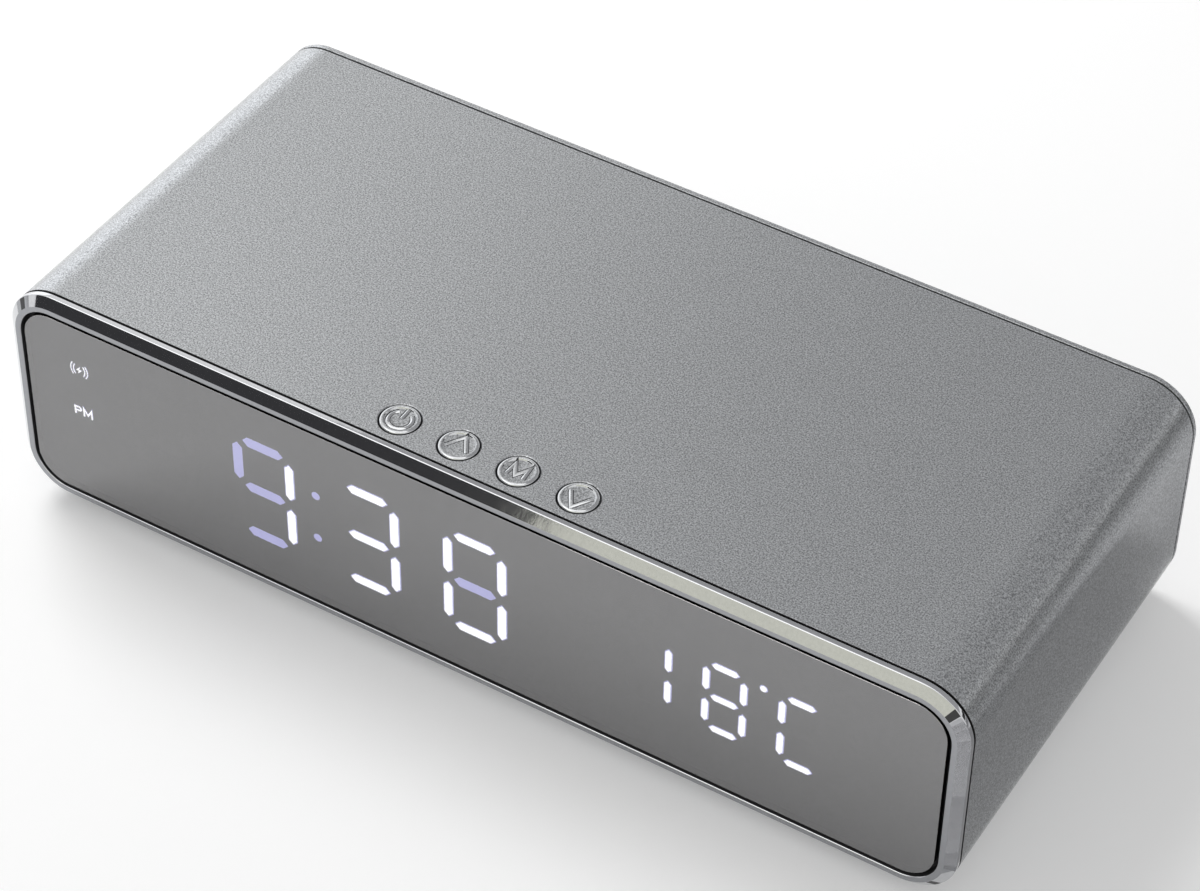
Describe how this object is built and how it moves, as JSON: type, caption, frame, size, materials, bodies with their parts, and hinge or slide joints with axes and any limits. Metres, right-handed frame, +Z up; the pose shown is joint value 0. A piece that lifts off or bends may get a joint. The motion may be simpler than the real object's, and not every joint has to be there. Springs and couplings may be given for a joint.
{
  "type": "wireless charging alarm clock",
  "caption": "Box-shaped bedside alarm clock with a mirror front that shows time and temperature, round buttons along the top edge and a flat wireless charging top.",
  "frame": {"origin": "under the middle of the clock, on the surface that its feet stand on", "axes": "+X along the front to the right of someone who looks at the display, the display faces -Y, +Z up"},
  "size_m": [0.16, 0.073, 0.0417],
  "materials": {
    "silver_paint": "fine metallic silver paint, satin",
    "chrome_trim": "chrome plated, polished",
    "half_mirror": "half-silvered, polished",
    "black_film": "printed black film",
    "milky_film": "milky, translucent",
    "white_plastic": "moulded white",
    "circuit_board": "green solder mask",
    "steel": "bright",
    "tin": "tin plated, bright",
    "black_plastic": "moulded black",
    "chip_black": "epoxy, matt",
    "ribbon_white": "white cable film",
    "socket_ivory": "ivory nylon",
    "copper": "enamelled copper wire",
    "ferrite": "sintered, matt",
    "capacitor_blue": "dipped film",
    "rubber": "matt black"
  },
  "bodies": {
    "clock": {"case_sleeve": "silver_paint", "rear_cover": "silver_paint", "front_bezel": "chrome_trim", "mirror_panel": "half_mirror", "segment_film": "black_film", "diffuser_sheet": "milky_film", "light_reflector": "white_plastic", "display_board": "circuit_board", "button_board": "circuit_board", "main_board": "circuit_board", "display_screw_low_left": "steel", "display_screw_low_right": "steel", "display_screw_high_right": "steel", "display_screw_high_left": "steel", "rear_screw_low_left": "steel", "rear_screw_low_right": "steel", "rear_screw_high_right": "steel", "rear_screw_high_left": "steel", "power_switch": "steel", "up_switch": "steel", "mode_switch": "steel", "down_switch": "steel", "filter_capacitor": "steel", "clock_crystal": "steel", "button_cell": "steel", "cell_top_contact": "steel", "cell_side_contact": "steel", "power_inlet_shell": "tin", "coil_carrier": "black_plastic", "buzzer": "black_plastic", "power_inlet_tongue": "black_plastic", "cell_holder": "black_plastic", "temperature_sensor": "black_plastic", "charge_controller_chip": "chip_black", "clock_chip": "chip_black", "display_driver_chip": "chip_black", "display_ribbon": "ribbon_white", "button_ribbon": "ribbon_white", "display_ribbon_socket": "socket_ivory", "main_display_socket": "socket_ivory", "button_ribbon_socket": "socket_ivory", "main_button_socket": "socket_ivory", "charging_coil": "copper", "ferrite_sheet": "ferrite", "power_inductor": "ferrite", "resonant_capacitor_a": "capacitor_blue", "resonant_capacitor_b": "capacitor_blue", "foot_front_left": "rubber", "foot_front_right": "rubber", "foot_rear_left": "rubber", "foot_rear_right": "rubber"},
    "power_button": {"power_button": "silver_paint", "power_switch_pin": "black_plastic"},
    "up_button": {"up_button": "silver_paint", "up_switch_pin": "black_plastic"},
    "mode_button": {"mode_button": "silver_paint", "mode_switch_pin": "black_plastic"},
    "down_button": {"down_button": "silver_paint", "down_switch_pin": "black_plastic"},
    "battery_cover": {"battery_cover": "silver_paint"}
  },
  "joints": [
    {"name": "power_press", "type": "slide", "parent": "clock", "child": "power_button", "axis": [0, 0, -1], "range_m": [0, 0.0006], "stiffness_N_per_m": 500},
    {"name": "up_press", "type": "slide", "parent": "clock", "child": "up_button", "axis": [0, 0, -1], "range_m": [0, 0.0006], "stiffness_N_per_m": 500},
    {"name": "mode_press", "type": "slide", "parent": "clock", "child": "mode_button", "axis": [0, 0, -1], "range_m": [0, 0.0006], "stiffness_N_per_m": 500},
    {"name": "down_press", "type": "slide", "parent": "clock", "child": "down_button", "axis": [0, 0, -1], "range_m": [0, 0.0006], "stiffness_N_per_m": 500},
    {"name": "battery_cover_turn", "type": "hinge", "parent": "clock", "child": "battery_cover", "pos_m": [0.03, 0, 0.0016], "axis": [0, 0, -1], "range_deg": [0, 50]}
  ]
}
